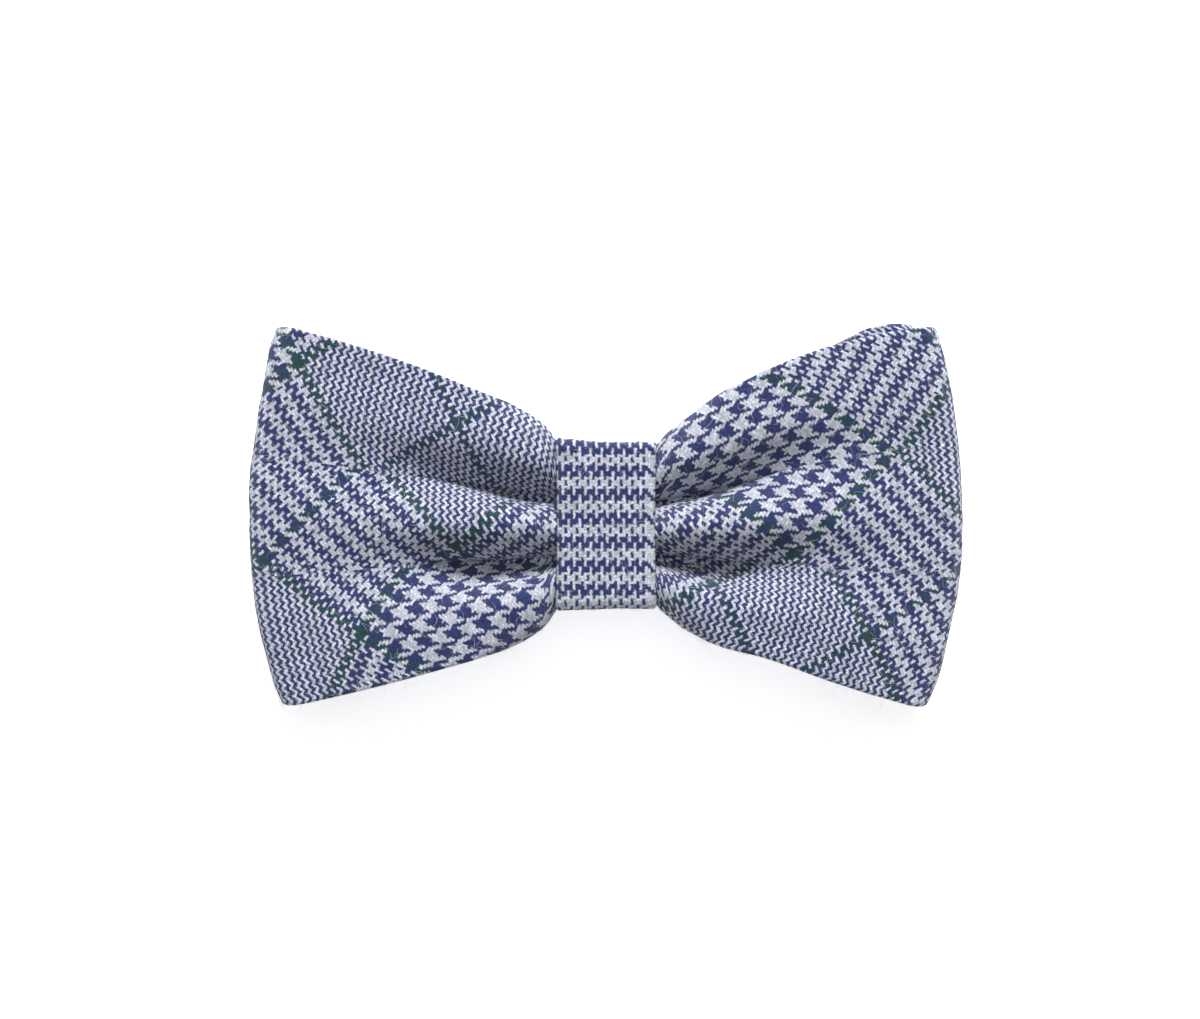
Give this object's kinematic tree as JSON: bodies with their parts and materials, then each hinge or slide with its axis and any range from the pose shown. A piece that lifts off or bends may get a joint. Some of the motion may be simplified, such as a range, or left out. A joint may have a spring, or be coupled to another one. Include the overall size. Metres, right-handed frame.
{
  "type": "clip-on bow tie",
  "caption": "Clip-on bow tie: two pleated wool cloth loops gathered in a cloth knot, with a sprung two-jaw collar clip behind it.",
  "frame": {"origin": "middle of the base: the bow lies on its back on z = 0", "axes": "+X towards the right-hand wing seen from the front, +Y up as the bow is worn, +Z out of the front of the bow"},
  "size_m": [0.1206, 0.0644, 0.0201],
  "materials": {
    "check_wool": "brushed wool twill, Glen check in navy and off-white",
    "interlining": "stiff woven canvas",
    "sewing_thread": "twisted navy polyester thread",
    "nickel_steel": "nickel-plated stamped steel",
    "pin_steel": "drawn steel, riveted ends",
    "spring_steel": "spring wire"
  },
  "bodies": {
    "bow": {"front_loop_cloth": "check_wool", "front_loop_interlining": "interlining", "rear_loop_cloth": "check_wool", "rear_loop_interlining": "interlining", "knot_cloth": "check_wool", "knot_interlining": "interlining", "waist_binding_thread": "sewing_thread", "knot_closing_stitches": "sewing_thread", "clip_base_strip": "nickel_steel", "left_jaw_pin": "pin_steel", "right_jaw_pin": "pin_steel", "left_jaw_spring": "spring_steel", "right_jaw_spring": "spring_steel"},
    "left_jaw": {"left_clip_jaw": "nickel_steel"},
    "right_jaw": {"right_clip_jaw": "nickel_steel"}
  },
  "joints": [
    {"name": "left_jaw_hinge", "type": "hinge", "parent": "bow", "child": "left_jaw", "pos_m": [-0.0145, -0.0013, 0.004], "axis": [0, -1, 0], "range_deg": [0, 20], "stiffness_Nm_per_rad": 0.02, "springref_deg": -11.46, "deforming": ["left_jaw_spring"]},
    {"name": "right_jaw_hinge", "type": "hinge", "parent": "bow", "child": "right_jaw", "pos_m": [0.0145, -0.0013, 0.004], "axis": [0, 1, 0], "range_deg": [0, 20], "stiffness_Nm_per_rad": 0.02, "springref_deg": -11.46, "deforming": ["right_jaw_spring"]}
  ]
}
